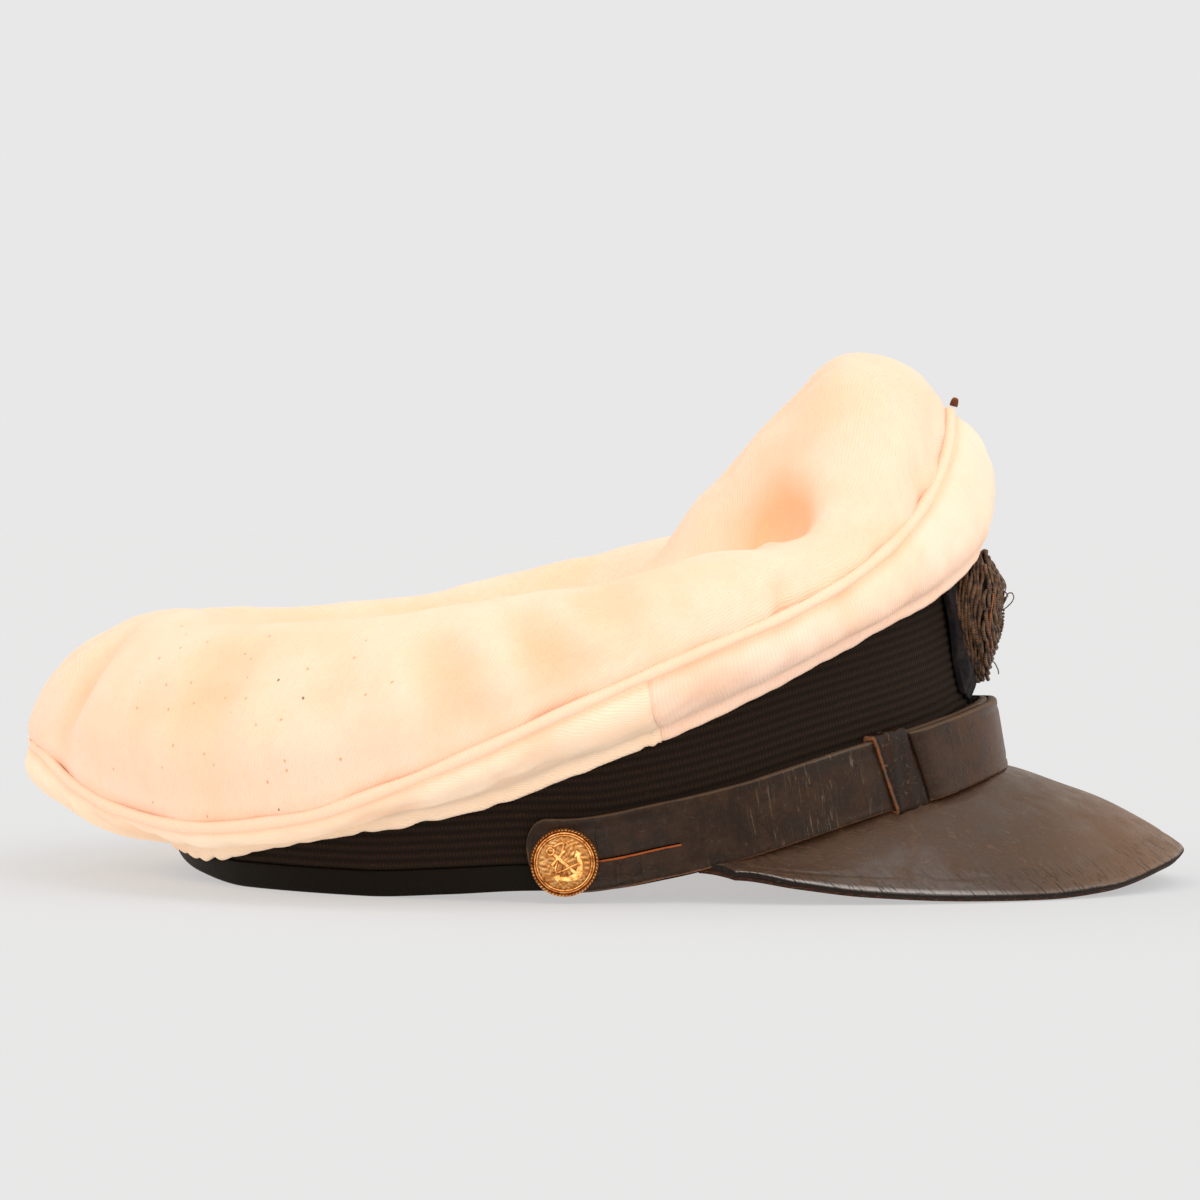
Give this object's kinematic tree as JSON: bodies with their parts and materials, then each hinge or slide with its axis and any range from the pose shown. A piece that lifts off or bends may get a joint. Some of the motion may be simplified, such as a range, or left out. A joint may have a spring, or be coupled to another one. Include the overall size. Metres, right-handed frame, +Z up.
{
  "type": "peaked cap",
  "caption": "Peaked uniform cap with a pale cloth cover raised at the front, a dark ribbed band, leather chin strap and peak, brass side buttons and an embroidered badge.",
  "frame": {"origin": "on the surface the cap lies on, under the middle of the whole cap's box", "axes": "+X towards the front of the cap, +Y towards the wearer's left, +Z up; the cap lies on the back of its band and on the edge of its peak, as it does on a table"},
  "size_m": [0.3072, 0.244, 0.1385],
  "materials": {
    "cover_top": "matte woven cotton, yellowed",
    "cover_side": "matte woven cotton, yellowed",
    "piping": "matte cotton piping",
    "band_cloth": "ribbed mohair braid",
    "band_edging": "smooth dark binding",
    "strap_leather": "worn black patent leather",
    "keeper_leather": "worn black leather with raw brown edges",
    "button_brass": "tarnished brass",
    "peak_leather": "worn black patent leather",
    "badge_felt": "dark felt",
    "badge_bullion": "tarnished metal thread embroidery",
    "stay": "raw brown"
  },
  "bodies": {
    "root": {"crown_top": "cover_top", "quarter_front": "cover_side", "quarter_rear": "cover_side", "welt": "piping", "band": "band_cloth", "band_edge": "band_edging", "strap_inner": "strap_leather", "strap_outer": "strap_leather", "keeper_right": "keeper_leather", "keeper_left": "keeper_leather", "button_right": "button_brass", "button_left": "button_brass", "peak": "peak_leather", "badge_backing": "badge_felt", "badge": "badge_bullion", "stay_tip": "stay"}
  },
  "joints": []
}
